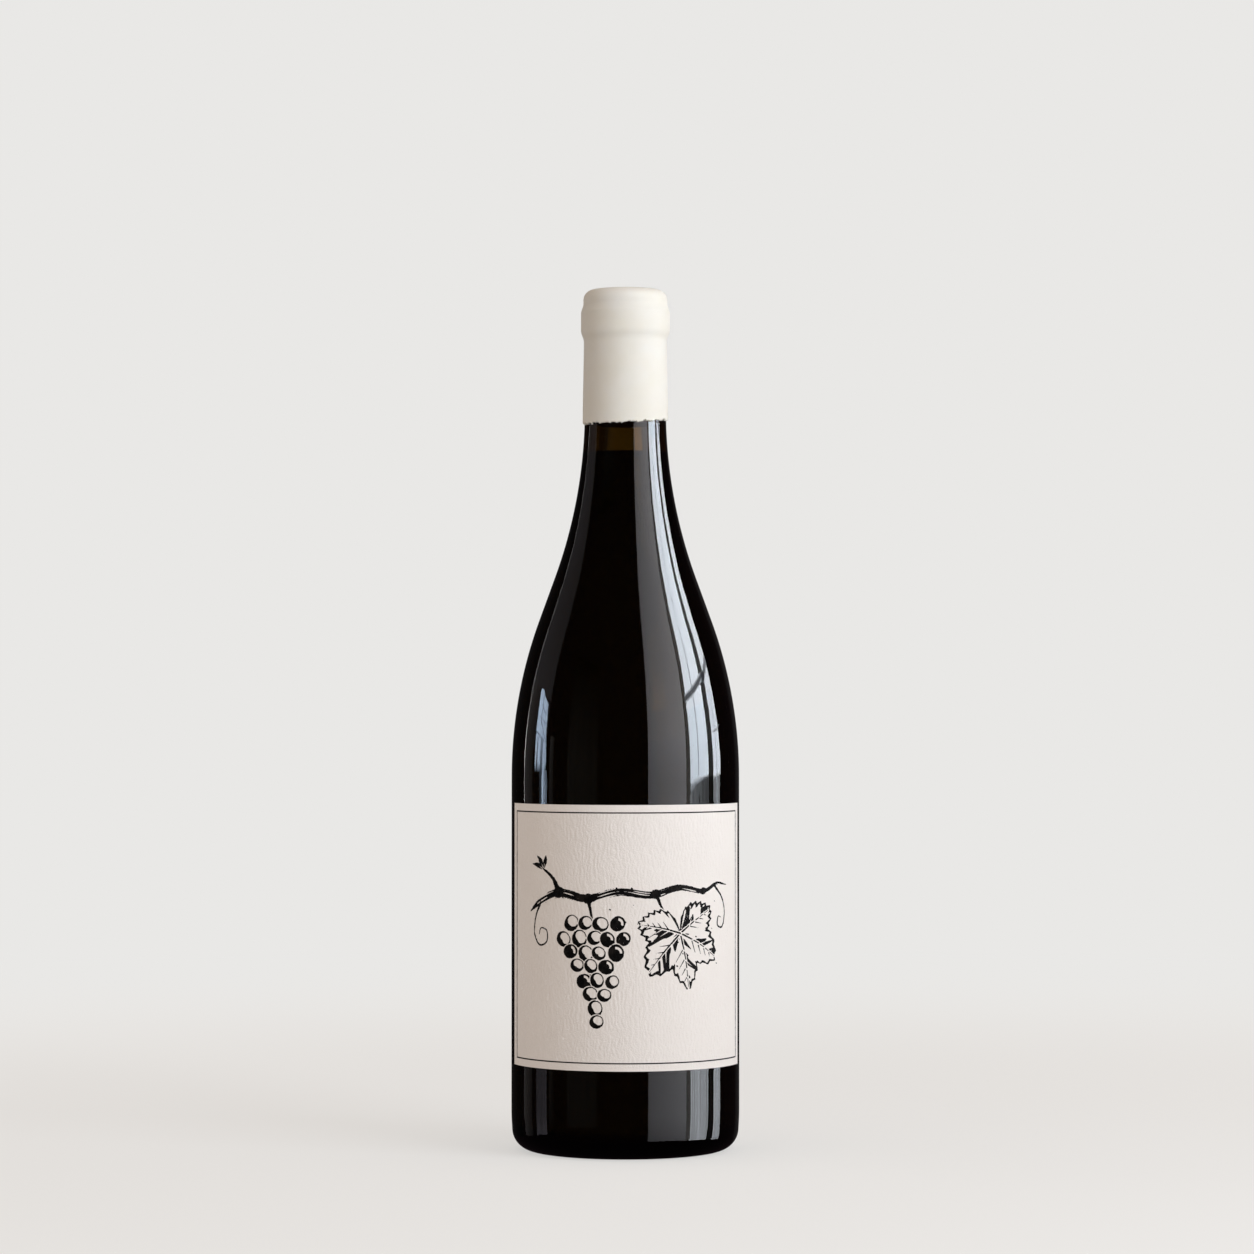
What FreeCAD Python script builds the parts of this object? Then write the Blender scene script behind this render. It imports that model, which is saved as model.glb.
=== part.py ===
import FreeCAD, Part
import math
import os

# A 750 ml wine bottle with long sloping shoulders: filled, corked, dipped in sealing wax
# and labelled. Millimetres, +Z up, origin at the centre of the base, label facing -Y.

# glass, outside
glassHeight = 300.0      # base to lip
bodyRadius = 40.0
shoulderHeight = 159.0   # where the straight wall and the cone would cross
shoulderBlend = 159.5    # radius of the arc between them
coneAngle = 20.0         # degrees off the vertical
neckBlend = 174.5        # radius of the hollow arc between cone and neck
neckRadius = 13.9        # under the string ring
neckTaper = 0.88         # degrees, widening downwards

# finish: the string ring, a flat band, and the lip above it
ringProud = 1.0          # beyond the neck
ringBand = 7.4
ringBevel = 2.4          # height of the slope above and below the band
ringRound = 2.5
lipHeight = 3.2          # above the upper slope
lipProud = 0.15          # beyond the neck
lipRound = 1.6
mouthRound = 0.6

# glass, inside
wall = 3.1               # cone, shoulder and body
boreRadius = 9.25        # at the mouth
boreTaper = 1.2          # degrees, widening downwards

# heel and punt
heelRadius = 7.5
heelTuck = 0.7           # how far the wall draws in towards the heel
heelTuckHeight = 12.0
heelTuckBlend = 90.0
bearingWidth = 3.0       # flat ring that the bottle stands on
bearingRound = 1.2
puntDepth = 24.0
puntRun = 13.2           # inward run of the punt's side up to its crown
puntRound = 22.0
nubRadius = 3.4          # button at the crown of the punt
nubHeight = 1.1
nubRound = 0.7
baseThickness = 5.0      # glass over the punt
floorThickness = 6.6     # glass over the bearing ring
troughFullness = 0.96    # rounding of the trough round the punt, 1 for a full half circle

# contents and closure
fillDepth = 56.0         # wine surface below the lip
corkLength = 45.0
corkSunk = 0.7           # below the lip
corkBevel = 0.8

# sealing wax
waxThickness = 0.73      # on the glass
waxTop = 2.2             # over the lip
waxRound = 3.6
dipLength = 46.5         # top of the wax to the middle of the dip line
dipTilt = 2.7            # degrees, the dip line is higher on the +X side
dipLean = 4.2            # degrees, and higher at the back

# label
labelBase = 30.8
labelHeight = 91.0
labelWidth = 106.2       # measured round the body
labelThickness = 0.18

centre = FreeCAD.Vector(0, 0, 0)
upward = FreeCAD.Vector(0, 0, 1)


def roundingReaches(points, roundings):
    """Length that each rounding takes off its two sides, cut back where two would meet."""
    count = len(points)
    wanted = []
    for i in range(count):
        arriving = points[i] - points[i - 1]
        leaving = points[(i + 1) % count] - points[i]
        wanted.append(roundings[i] * math.tan(arriving.getAngle(leaving) / 2))
    kept = list(wanted)
    for i in range(count):
        j = (i + 1) % count
        room = 0.98 * (points[j] - points[i]).Length
        total = wanted[i] + wanted[j]
        if total > room:
            kept[i] = min(kept[i], wanted[i] * room / total)
            kept[j] = min(kept[j], wanted[j] * room / total)
    return kept


def turnedSolid(corners):
    """Revolves a closed outline of (radius, height, rounding) corners about the bottle's axis."""
    points = [FreeCAD.Vector(r, 0, z) for r, z, rounding in corners]
    reach = roundingReaches(points, [rounding for r, z, rounding in corners])
    count = len(points)
    edges = []
    for i in range(count):
        j = (i + 1) % count
        along = (points[j] - points[i]).normalize()
        onward = (points[(j + 1) % count] - points[j]).normalize()
        end = points[j] - along * reach[j]
        edges.append(Part.makeLine(points[i] + along * reach[i], end))
        if reach[j] > 0:
            halfTurn = along.getAngle(onward) / 2
            depth = reach[j] * (1 / math.cos(halfTurn) - 1) / math.tan(halfTurn)
            middle = points[j] + (onward - along).normalize() * depth
            edges.append(Part.Arc(end, middle, points[j] + onward * reach[j]).toShape())
    return Part.Face(Part.Wire(edges)).revolve(centre, upward, 360)


def slopeOf(degrees):
    """Loss of radius per millimetre of height of a line that leans inwards."""
    return -math.tan(math.radians(degrees))


def crossing(lineA, lineB):
    """Corner where two lines meet, each given as (radius, height, slope)."""
    rA, zA, slopeA = lineA
    rB, zB, slopeB = lineB
    z = (rB - rA + slopeA * zA - slopeB * zB) / (slopeA - slopeB)
    return rA + slopeA * (z - zA), z


def shoulderCorners(inset, neckLine):
    """Shoulder and neck corners of a skin that lies inset millimetres inside the outer one."""
    bodyLine = (bodyRadius - inset, 0, 0)
    coneInset = inset / math.cos(math.radians(coneAngle))
    coneLine = (bodyRadius - coneInset, shoulderHeight, slopeOf(coneAngle))
    shoulder = crossing(bodyLine, coneLine)
    neck = crossing(coneLine, neckLine)
    return [(*shoulder, shoulderBlend - inset), (*neck, neckBlend + inset)]


# the finish, counted down from the lip
ringTop = glassHeight - lipHeight - ringBevel
ringBottom = ringTop - ringBand
neckTop = ringBottom - ringBevel
ringRadius = neckRadius + ringProud
lipRadius = neckRadius + lipProud
corkTop = glassHeight - corkSunk

# the base, worked inwards from the body
heelCorner = bodyRadius - heelTuck
bearingOuter = heelCorner - heelRadius
bearingInner = bearingOuter - bearingWidth
crownRadius = bearingInner - puntRun
puntLean = math.atan2(puntRun, puntDepth)


def outsideCorners():
    """Outer skin of the glass, from the crown of the punt round the heel and up to the lip."""
    punt = [
        (0, puntDepth - nubHeight, 0),
        (nubRadius, puntDepth - nubHeight, nubRound),
        (nubRadius + nubHeight, puntDepth, nubRound),
        (crownRadius, puntDepth, puntRound),
        (bearingInner, 0, bearingRound),
    ]
    heel = [
        (heelCorner, 0, heelRadius),
        (bodyRadius, heelTuckHeight, heelTuckBlend),
    ]
    neckLine = (neckRadius, neckTop, slopeOf(neckTaper))
    finish = [
        (neckRadius, neckTop, ringRound),
        (ringRadius, ringBottom, ringRound),
        (ringRadius, ringTop, ringRound),
        (lipRadius, ringTop + ringBevel, ringRound),
        (lipRadius, glassHeight, lipRound),
    ]
    return punt + heel + shoulderCorners(0, neckLine) + finish


def insideCorners():
    """Inner skin of the glass, from the bore down to the floor over the punt."""
    boreLine = (boreRadius, glassHeight, slopeOf(boreTaper))
    shoulder, neck = shoulderCorners(wall, boreLine)
    # the floor runs level over the bearing ring, then up beside the punt
    sideFoot = bearingInner + baseThickness / math.cos(puntLean)
    innerFloor = sideFoot - floorThickness * math.tan(puntLean)
    crownTop = puntDepth + baseThickness
    crownCorner = sideFoot - crownTop * math.tan(puntLean)
    troughWidth = bodyRadius - wall - innerFloor
    fullRound = troughWidth / (1 + math.tan((math.pi / 2 - puntLean) / 2))
    troughRound = troughFullness * fullRound
    return [
        neck,
        shoulder,
        (bodyRadius - wall, floorThickness, troughRound),
        (innerFloor, floorThickness, troughRound),
        (crownCorner, crownTop, puntRound + baseThickness),
        (0, crownTop, 0),
    ]


def levelSlab(low, high):
    """A round slab wider than the bottle, to cut level slices."""
    return Part.makeCylinder(2 * bodyRadius, high - low, FreeCAD.Vector(0, 0, low))


def makeCavity():
    """The space inside the glass, closed flat at the lip."""
    return turnedSolid([(0, glassHeight, 0), (boreRadius, glassHeight, 0)] + insideCorners())


def makeGlass(cavity):
    """Outer skin less the cavity, with the inner rim of the mouth rounded over."""
    glass = turnedSolid(outsideCorners() + [(0, glassHeight, 0)]).cut(cavity).Solids[0]
    rims = []
    for edge in glass.Edges:
        atLip = abs(edge.Vertexes[0].Z - glassHeight) < 1e-3
        if edge.isClosed() and atLip and edge.Curve.Radius < boreRadius + mouthRound:
            rims.append(edge)
    return glass.makeFillet(mouthRound, rims)


def makeWine(cavity):
    """Wine up to its level surface in the neck."""
    return cavity.common(levelSlab(0, glassHeight - fillDepth))


def boreAt(height):
    """Radius of the straight bore at a height."""
    return boreRadius - slopeOf(boreTaper) * (glassHeight - height)


def makeCork(cavity):
    """Cork squeezed to the bore, with both rims bevelled at 45 degrees."""
    corkBottom = corkTop - corkLength
    half = corkLength / 2
    bevelled = turnedSolid([
        (0, corkBottom, 0),
        (boreAt(corkBottom) - corkBevel, corkBottom, 0),
        (boreAt(corkBottom) - corkBevel + half, corkBottom + half, 0),
        (boreAt(corkTop) - corkBevel + half, corkTop - half, 0),
        (boreAt(corkTop) - corkBevel, corkTop, 0),
        (0, corkTop, 0),
    ])
    return cavity.common(bevelled)


def makeWax(glass, cavity):
    """Shell that follows the neck, ring and lip, fills the mouth and ends at the dip line."""
    top = glassHeight + waxTop
    dipHeight = top - dipLength
    blankFoot = dipHeight / 2
    neckGrowth = -slopeOf(neckTaper) * (neckTop - blankFoot)
    blank = turnedSolid([
        (0, blankFoot, 0),
        (neckRadius + waxThickness + neckGrowth, blankFoot, 0),
        (neckRadius + waxThickness, neckTop, 2 * ringRound),
        (ringRadius + waxThickness, ringBottom, 2 * ringRound),
        (ringRadius + waxThickness, ringTop, ringRound),
        (lipRadius + waxThickness, ringTop + ringBevel, ringRound),
        (lipRadius + waxThickness, top, waxRound),
        (0, top, 0),
    ])
    below = levelSlab(-dipHeight, dipHeight)
    dipMiddle = FreeCAD.Vector(0, 0, dipHeight)
    below.rotate(dipMiddle, FreeCAD.Vector(0, 1, 0), -dipTilt)
    below.rotate(dipMiddle, FreeCAD.Vector(1, 0, 0), dipLean)
    corked = cavity.common(levelSlab(0, corkTop))
    return blank.cut(below).cut(glass).cut(corked)


def makeLabel():
    """Thin curved sheet on the straight wall, centred on -Y."""
    outer = bodyRadius + labelThickness
    corners = [
        FreeCAD.Vector(bodyRadius, 0, labelBase),
        FreeCAD.Vector(outer, 0, labelBase),
        FreeCAD.Vector(outer, 0, labelBase + labelHeight),
        FreeCAD.Vector(bodyRadius, 0, labelBase + labelHeight),
    ]
    sweep = math.degrees(labelWidth / bodyRadius)
    sheet = Part.Face(Part.makePolygon(corners + corners[:1])).revolve(centre, upward, sweep)
    sheet.rotate(centre, upward, -90 - sweep / 2)
    return sheet


os.makedirs("parts", exist_ok=True)
cavity = makeCavity()
glass = makeGlass(cavity)
nodes = {
    "glass_bottle": glass,
    "wine": makeWine(cavity),
    "cork": makeCork(cavity),
    "wax_seal": makeWax(glass, cavity),
    "label": makeLabel(),
}
for name, shape in nodes.items():
    shape.exportStep(f"parts/{name}.step")
    print(name, len(shape.Solids), "solid", round(shape.Volume / 1000, 2), "ml", shape.isValid())
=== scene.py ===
import random
from functools import partial
from math import atan2, ceil, cos, exp, hypot, pi, radians, sin, sqrt, tan

import bmesh
import bpy
import numpy as np
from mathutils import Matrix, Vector, noise


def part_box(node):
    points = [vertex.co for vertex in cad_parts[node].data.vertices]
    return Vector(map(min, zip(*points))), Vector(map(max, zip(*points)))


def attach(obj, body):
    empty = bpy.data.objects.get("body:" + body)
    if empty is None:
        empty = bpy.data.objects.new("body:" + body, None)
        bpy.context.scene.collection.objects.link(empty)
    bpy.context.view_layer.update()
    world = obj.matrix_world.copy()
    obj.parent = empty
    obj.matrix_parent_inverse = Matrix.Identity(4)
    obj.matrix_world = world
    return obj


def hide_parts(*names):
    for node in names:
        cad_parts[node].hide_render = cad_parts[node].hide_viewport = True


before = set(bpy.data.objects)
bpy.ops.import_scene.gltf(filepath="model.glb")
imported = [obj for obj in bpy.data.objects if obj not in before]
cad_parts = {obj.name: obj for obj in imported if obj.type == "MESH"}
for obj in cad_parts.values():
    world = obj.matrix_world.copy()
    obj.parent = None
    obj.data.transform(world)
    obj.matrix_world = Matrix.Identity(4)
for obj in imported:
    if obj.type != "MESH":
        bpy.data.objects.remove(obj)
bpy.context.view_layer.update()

# A filled wine bottle: dark glass, red wine, cork, dipped sealing wax and a paper label.
# Shapes are worked out in millimetres and become metres when a mesh is made.
mm = 0.001
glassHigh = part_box("glass_bottle")[1]
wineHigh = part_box("wine")[1]
corkLow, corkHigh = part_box("cork")
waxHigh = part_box("wax_seal")[1]
labelLow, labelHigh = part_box("label")
bodyRadius = glassHigh.x / mm
glassTop = glassHigh.z / mm
corkTop = corkHigh.z / mm


def hexColor(code):
    channels = [int(code[i:i + 2], 16) / 255 for i in (1, 3, 5)]
    linear = [c / 12.92 if c <= 0.04045 else ((c + 0.055) / 1.055) ** 2.4 for c in channels]
    return (*linear, 1.0)


def addNode(tree, kind, links=None, **settings):
    # makes a node, or takes by its full name one that the material came with; sets its
    # properties or inputs, a colour by its hex code, and links named inputs, where a node
    # stands for its first output
    node = tree.nodes[kind] if " " in kind else tree.nodes.new("ShaderNode" + kind)
    for key, value in settings.items():
        if hasattr(node, key):
            setattr(node, key, value)
        else:
            value = hexColor(value) if isinstance(value, str) else value
            node.inputs[key.replace("_", " ")].default_value = value
    for key, source in (links or {}).items():
        tree.links.new(getattr(source, "outputs", [source])[0], node.inputs[key])
    return node


def newMaterial(name):
    # gives the material, its own way to add nodes, and where each point of the piece lies
    material = bpy.data.materials.new(name)
    material.use_nodes = True
    add = partial(addNode, material.node_tree)
    return material, add, add("TexCoord").outputs["Object"]


def turned(radius, angle, height):
    # a point round the axis; angle 0 faces -Y, 90 degrees +X
    return Vector((radius * sin(angle), -radius * cos(angle), height))


def drift(x, y, z):
    # smooth random field, about -0.7..0.7
    return noise.noise(Vector((x, y, z)))


def blend(corners, x, y):
    # blends corner values: foot left and right, head left and right; two serve foot and head
    # alike, and one serves all four
    footLeft, footRight, headLeft, headRight = corners * (4 // len(corners))
    left = footLeft + (headLeft - footLeft) * y
    right = footRight + (headRight - footRight) * y
    return left + (right - left) * x


def roundedOutline(corners, spacing):
    # corners are (radius, height, rounding), a rounding is cut back where two would meet
    usable = 0.98             # share of a side that its two roundings may take up
    finestTurn = 0.06         # radians of an arc to one step
    points = [Vector((r, z)) for r, z, rounding in corners]
    last = len(points) - 1
    reach = [0.0] * (last + 1)
    for i in range(1, last):
        turn = (points[i] - points[i - 1]).angle(points[i + 1] - points[i])
        reach[i] = corners[i][2] * tan(turn / 2)
    wanted = list(reach)
    for i in range(last):
        room = usable * (points[i + 1] - points[i]).length
        total = wanted[i] + wanted[i + 1]
        if total > room:
            reach[i] = min(reach[i], wanted[i] * room / total)
            reach[i + 1] = min(reach[i + 1], wanted[i + 1] * room / total)
    rough = [points[0]]
    for i in range(1, last):
        if reach[i] < 1e-4:
            rough.append(points[i])
            continue
        before = (points[i - 1] - points[i]).normalized()
        after = (points[i + 1] - points[i]).normalized()
        halfTurn = (pi - before.angle(after)) / 2
        start = points[i] + before * reach[i]
        end = points[i] + after * reach[i]
        radius = reach[i] / tan(halfTurn)
        centre = points[i] + (before + after).normalized() * radius / cos(halfTurn)
        steps = max(3, ceil(2 * halfTurn * radius / spacing), ceil(halfTurn / finestTurn))
        for k in range(steps + 1):
            arm = (start - centre).slerp(end - centre, k / steps)
            rough.append(centre + arm * radius)
    rough.append(points[-1])
    outline = [rough[0]]
    for start, end in zip(rough, rough[1:]):
        pieces = max(1, ceil((end - start).length / spacing))
        for k in range(1, pieces + 1):
            outline.append(start.lerp(end, k / pieces))
    return outline


def turnedMesh(name, outline, segments, warp=None):
    # revolves an outline that starts and ends on the axis
    bm = bmesh.new()
    rings = []
    for radius, height in outline:
        ring = []
        for k in range(segments if radius > 1e-6 else 1):
            angle = 2 * pi * k / segments
            r, z = warp(radius, angle, height) if warp else (radius, height)
            ring.append(bm.verts.new(turned(r, angle, z) * mm))
        rings.append(ring)
    for low, high in zip(rings, rings[1:]):
        for k in range(segments):
            j = (k + 1) % segments
            if len(low) == 1:
                bm.faces.new((low[0], high[j], high[k]))
            elif len(high) == 1:
                bm.faces.new((low[k], low[j], high[0]))
            else:
                bm.faces.new((low[k], low[j], high[j], high[k]))
    bmesh.ops.recalc_face_normals(bm, faces=bm.faces)
    return meshObject(name, bm)


def addObject(name, data):
    obj = bpy.data.objects.new(name, data)
    bpy.context.scene.collection.objects.link(obj)
    return obj


def meshObject(name, bm, sharpAngle=40):
    mesh = bpy.data.meshes.new(name)
    bm.to_mesh(mesh)
    bm.free()
    mesh.polygons.foreach_set("use_smooth", [True] * len(mesh.polygons))
    mesh.set_sharp_from_angle(angle=radians(sharpAngle))
    return addObject(name, mesh)


def finishPiece(obj, node, material):
    obj.data.materials.append(material)
    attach(obj, "root")
    if node:
        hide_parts(node)


cameraView = dict(
    distance=1.420,       # from the bottle's axis
    height=0.1581,
    azimuth=-1.4,         # degrees, the label faces azimuth 0
    tiltUp=1.021,
    panRight=0.023,
    focalLength=115.8,
    sensorWidth=36,
)


def placeCamera(values):
    camera = addObject("camera", bpy.data.cameras.new("camera"))
    azimuth = radians(values["azimuth"])
    camera.location = turned(values["distance"], azimuth, values["height"])
    tilt = radians(90 + values["tiltUp"])
    camera.rotation_euler = (tilt, 0, azimuth - radians(values["panRight"]))
    camera.data.lens = values["focalLength"]
    camera.data.sensor_width = values["sensorWidth"]
    bpy.context.scene.camera = camera


placeCamera(cameraView)
print("camera placed")


glassShape = dict(
    shoulderHeight=159.0,
    shoulderBlend=159.5,
    coneAngle=20.0,
    neckBlend=174.5,
    neckRadius=13.9,
    neckTaper=0.88,
    ringProud=1.0,
    ringBand=7.4,
    ringBevel=2.4,
    ringRound=2.5,
    lipHeight=3.2,
    lipProud=0.15,
    lipRound=1.6,
    mouthRound=0.6,
    wall=3.1,
    boreRadius=9.25,
    boreTaper=1.2,
    heelRadius=7.5,
    heelTuck=0.7,
    heelTuckHeight=12.0,
    heelTuckBlend=90.0,
    bearingWidth=3.0,
    bearingRound=1.2,
    puntDepth=24.0,
    puntRun=13.2,
    puntRound=22.0,
    nubRadius=3.4,
    nubHeight=1.1,
    nubRound=0.7,
    baseThickness=5.0,
    floorThickness=6.6,
    troughFullness=0.96,  # rounding of the trough round the punt, 1 for a full half circle
    unevenness=0.015,     # soft waves of hot-formed glass
    wavesRound=1.6,
    waveHeight=34,
    stillBelow=12,        # the foot and the punt are left true, so that it stands flat
    stillWithin=20,
    spacing=2.4,
    segments=200,
)


def crossing(lineA, lineB):
    # lines are (radius, height, slope of radius over height)
    rA, zA, slopeA = lineA
    rB, zB, slopeB = lineB
    z = (rB - rA + slopeA * zA - slopeB * zB) / (slopeA - slopeB)
    return rA + slopeA * (z - zA), z


def lean(degrees):
    return -tan(radians(degrees))


def shoulderCorners(shape, inset, neckLine):
    bodyLine = (bodyRadius - inset, 0, 0)
    coneInset = inset / cos(radians(shape["coneAngle"]))
    coneLine = (bodyRadius - coneInset, shape["shoulderHeight"], lean(shape["coneAngle"]))
    shoulder = crossing(bodyLine, coneLine)
    neck = crossing(coneLine, neckLine)
    return [(*shoulder, shape["shoulderBlend"] - inset), (*neck, shape["neckBlend"] + inset)]


def finishHeights(shape):
    ringTop = glassTop - shape["lipHeight"] - shape["ringBevel"]
    ringBottom = ringTop - shape["ringBand"]
    return ringTop, ringBottom, ringBottom - shape["ringBevel"]


def outsideCorners(shape, proud=0):
    # heel to lip; proud adds a skin of that thickness outside the neck, ring and lip
    ringTop, ringBottom, neckTop = finishHeights(shape)
    neckRadius = shape["neckRadius"] + proud
    ringRadius = neckRadius + shape["ringProud"]
    lipRadius = neckRadius + shape["lipProud"]
    neckLine = (neckRadius, neckTop, lean(shape["neckTaper"]))
    heelCorner = bodyRadius - shape["heelTuck"]
    rounding = shape["ringRound"] * (2 if proud else 1)
    return [
        (heelCorner, 0, shape["heelRadius"]),
        (bodyRadius, shape["heelTuckHeight"], shape["heelTuckBlend"]),
        *shoulderCorners(shape, 0, neckLine),
        (neckRadius, neckTop, rounding),
        (ringRadius, ringBottom, rounding),
        (ringRadius, ringTop, shape["ringRound"]),
        (lipRadius, ringTop + shape["ringBevel"], shape["ringRound"]),
        (lipRadius, glassTop, shape["lipRound"]),
    ]


def baseCorners(shape):
    bearingInner = bodyRadius - shape["heelTuck"] - shape["heelRadius"] - shape["bearingWidth"]
    nubFoot = shape["nubRadius"] + shape["nubHeight"]
    return [
        (0, shape["puntDepth"] - shape["nubHeight"], 0),
        (shape["nubRadius"], shape["puntDepth"] - shape["nubHeight"], shape["nubRound"]),
        (nubFoot, shape["puntDepth"], shape["nubRound"]),
        (bearingInner - shape["puntRun"], shape["puntDepth"], shape["puntRound"]),
        (bearingInner, 0, shape["bearingRound"]),
    ]


def insideCorners(shape, sunk=0):
    # bore to floor; sunk moves the skin that far into the glass
    boreLine = (shape["boreRadius"] + sunk, glassTop, lean(shape["boreTaper"]))
    shoulder, neck = shoulderCorners(shape, shape["wall"] - sunk, boreLine)
    puntLean = atan2(shape["puntRun"], shape["puntDepth"])
    bearingInner = baseCorners(shape)[-1][0]
    baseThickness = shape["baseThickness"] - sunk
    floor = shape["floorThickness"] - sunk
    sideFoot = bearingInner + baseThickness / cos(puntLean)
    innerFloor = sideFoot - floor * tan(puntLean)
    crownTop = shape["puntDepth"] + baseThickness
    outerFloor = bodyRadius - shape["wall"] + sunk
    trough = shape["troughFullness"] * (outerFloor - innerFloor)
    trough /= 1 + tan((pi / 2 - puntLean) / 2)
    return [
        neck,
        shoulder,
        (outerFloor, floor, trough),
        (innerFloor, floor, trough),
        (sideFoot - crownTop * tan(puntLean), crownTop, shape["puntRound"] + baseThickness),
        (0, crownTop, 0),
    ]


def makeBottle(shape):
    mouth = [(shape["boreRadius"], glassTop, shape["mouthRound"])]
    corners = baseCorners(shape) + outsideCorners(shape) + mouth + insideCorners(shape)

    def soften(radius, angle, height):
        side, front = sin(angle) * shape["wavesRound"], cos(angle) * shape["wavesRound"]
        swell = drift(side, front, height / shape["waveHeight"]) * shape["unevenness"]
        hold = min(1, height / shape["stillBelow"])
        hold *= min(1, max(0, radius - shape["stillWithin"]) / 10)
        return radius + swell * hold, height

    outline = roundedOutline(corners, shape["spacing"])
    return turnedMesh("bottle", outline, shape["segments"], soften)


# Antique green-brown container glass, pressed and blown: slick fire-polished skin with slow
# waves from the mould, so dark that only its edges and the empty neck let light through.
def antiqueGlass():
    material, add, place = newMaterial("antiqueGlass")
    ripple = add("TexNoise", {"Vector": place}, Scale=1 / (26 * mm), Detail=1.0)
    haze = add("TexNoise", {"Vector": place}, Scale=1 / (6 * mm), Detail=3.0)
    rough = add("MapRange", {"Value": haze}, To_Min=0.004, To_Max=0.022)
    bump = add("Bump", {"Height": ripple}, Strength=0.02, Distance=0.1 * mm)
    add("Principled BSDF", {"Roughness": rough, "Normal": bump},
        Base_Color="#FFFFFF", Transmission_Weight=1, IOR=1.52)
    absorb = add("VolumeAbsorption", Color="#BFAF30", Density=1000)
    add("Material Output", {"Volume": absorb})
    return material


bottle = makeBottle(glassShape)
finishPiece(bottle, "glass_bottle", antiqueGlass())
print("bottle made")


wineShape = dict(
    sunk=0.35,            # how far it reaches into the glass, so that no gap shows
    meniscusRise=1.1,
    meniscusWidth=1.5,
    topSteps=26,
    spacing=2.0,
    segments=160,
)


def makeWine(values):
    surface = wineHigh.z / mm
    inside = insideCorners(glassShape, values["sunk"])
    corners = [(0, glassTop, 0), (inside[0][0], glassTop, 0)] + inside
    outline = roundedOutline(corners, values["spacing"])[1:]
    wetted = [p for p in outline if p.y < surface + values["meniscusRise"]]
    rim = wetted[0].x
    top = []
    for k in range(values["topSteps"]):
        radius = rim * k / values["topSteps"]
        climb = exp(-(rim - radius) / values["meniscusWidth"])
        top.append(Vector((radius, surface + values["meniscusRise"] * climb)))
    return turnedMesh("wine_fill", top + wetted, values["segments"])


# Young red wine: water-clear liquid with a dense purple-red dye, black in this thickness.
def redWine():
    material, add, place = newMaterial("redWine")
    cloud = add("TexNoise", {"Vector": place}, Scale=1 / (40 * mm))
    tint = add("MixRGB", {"Fac": cloud}, Color1="#F2D9DC", Color2="#E9C6CB")
    # it wets the glass, so their boundary hardly mirrors
    add("Principled BSDF", {"Base Color": tint}, Transmission_Weight=1, IOR=1.344,
        Specular_IOR_Level=0.1, Roughness=0.0)
    absorb = add("VolumeAbsorption", Color="#B3273F", Density=3500)
    add("Material Output", {"Volume": absorb})
    return material


wine = makeWine(wineShape)
finishPiece(wine, "wine", redWine())
print("wine made")


corkShape = dict(
    squeezed=0.05,        # how far it presses into the bore's wall
    footFlare=0.13,       # the bore starts to flare at the cork's foot
    flareAbove=20,        # down to this far below its top it runs straight
    bevel=0.8,
    rimRound=0.25,
    stainHeight=4,        # wetted by the wine
    spacing=1.2,
    segments=96,
)


def makeCork(values):
    low = corkLow.z / mm
    bevel, rimRound = values["bevel"], values["rimRound"]
    flare = corkTop - values["flareAbove"]

    def boreAt(height):
        growth = -lean(glassShape["boreTaper"]) * (glassTop - height)
        return glassShape["boreRadius"] + values["squeezed"] + growth

    foot = boreAt(low) + values["footFlare"]
    corners = [
        (0, low, 0),
        (foot - bevel, low, rimRound),
        (foot, low + bevel, rimRound),
        (boreAt(flare), flare, 0),
        (boreAt(corkTop - bevel), corkTop - bevel, rimRound),
        (boreAt(corkTop) - bevel, corkTop, rimRound),
        (0, corkTop, 0),
    ]
    outline = roundedOutline(corners, values["spacing"])
    return turnedMesh("cork_stopper", outline, values["segments"])


# Punched natural cork: warm brown bark, fine grain with dark breathing pores, stained where
# the wine has wetted its foot.
def naturalCork():
    material, add, place = newMaterial("naturalCork")
    bark = add("TexNoise", {"Vector": place}, Scale=1 / (1.1 * mm), Detail=5.0)
    brown = add("MixRGB", {"Fac": bark}, Color1="#8E6A45", Color2="#C79F72")
    pores = add("TexVoronoi", {"Vector": place}, Scale=1 / (2.4 * mm))
    poreEdge = add("MapRange", {"Value": pores}, From_Min=0.12, From_Max=0.28)
    pored = add("MixRGB", {"Fac": poreEdge, "Color2": brown}, Color1="#4A2F1C")
    height = add("SeparateXYZ", {"Vector": place}).outputs["Z"]
    stain = add("MapRange", {"Value": height}, From_Min=corkLow.z,
                From_Max=corkLow.z + corkShape["stainHeight"] * mm, To_Min=1.0, To_Max=0.0)
    stained = add("MixRGB", {"Fac": stain, "Color1": pored}, Color2="#4D1F22")
    bump = add("Bump", {"Height": bark}, Strength=0.4, Distance=0.3 * mm)
    add("Principled BSDF", {"Base Color": stained, "Normal": bump}, Roughness=0.85)
    return material


cork = makeCork(corkShape)
finishPiece(cork, "cork", naturalCork())
print("cork made")


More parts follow.
